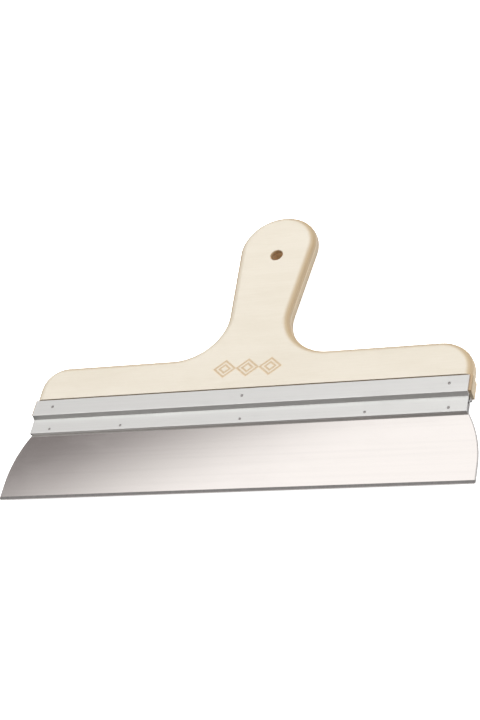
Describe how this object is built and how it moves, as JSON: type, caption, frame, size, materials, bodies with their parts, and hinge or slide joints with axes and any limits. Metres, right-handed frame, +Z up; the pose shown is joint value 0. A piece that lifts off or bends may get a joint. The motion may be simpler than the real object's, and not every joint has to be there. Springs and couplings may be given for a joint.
{
  "type": "drywall taping knife",
  "caption": "Wide taping and surfacing knife: T-shaped plywood handle board, stepped aluminium profile and a thin stainless blade with flared ends.",
  "frame": {"origin": "centre of the footprint of the knife lying on its back, on the surface it lies on", "axes": "+X along the blade, +Y from the blade's edge to the top of the grip, +Z up out of the front face"},
  "size_m": [0.4, 0.28, 0.015],
  "materials": {
    "face_veneer": "fine sanded, unvarnished pale wood",
    "core_veneer_long": "sanded edge, long grain",
    "core_veneer_cross": "sanded edge, end grain",
    "profile": "satin extruded",
    "blade": "polished stainless, fine lengthwise grain",
    "pin": "dark steel"
  },
  "bodies": {
    "root": {"handle_back_veneer": "face_veneer", "handle_core_veneer_1": "core_veneer_cross", "handle_core_veneer_2": "core_veneer_long", "handle_core_veneer_3": "core_veneer_cross", "handle_core_veneer_4": "core_veneer_long", "handle_core_veneer_5": "core_veneer_cross", "handle_core_veneer_6": "core_veneer_long", "handle_core_veneer_7": "core_veneer_cross", "handle_core_veneer_8": "core_veneer_long", "handle_core_veneer_9": "core_veneer_cross", "handle_front_veneer": "face_veneer", "aluminium_profile": "profile", "blade": "blade", "handle_pin_left": "pin", "handle_pin_middle": "pin", "handle_pin_right": "pin", "blade_pin_1": "pin", "blade_pin_2": "pin", "blade_pin_3": "pin", "blade_pin_4": "pin", "blade_pin_5": "pin"}
  },
  "joints": []
}
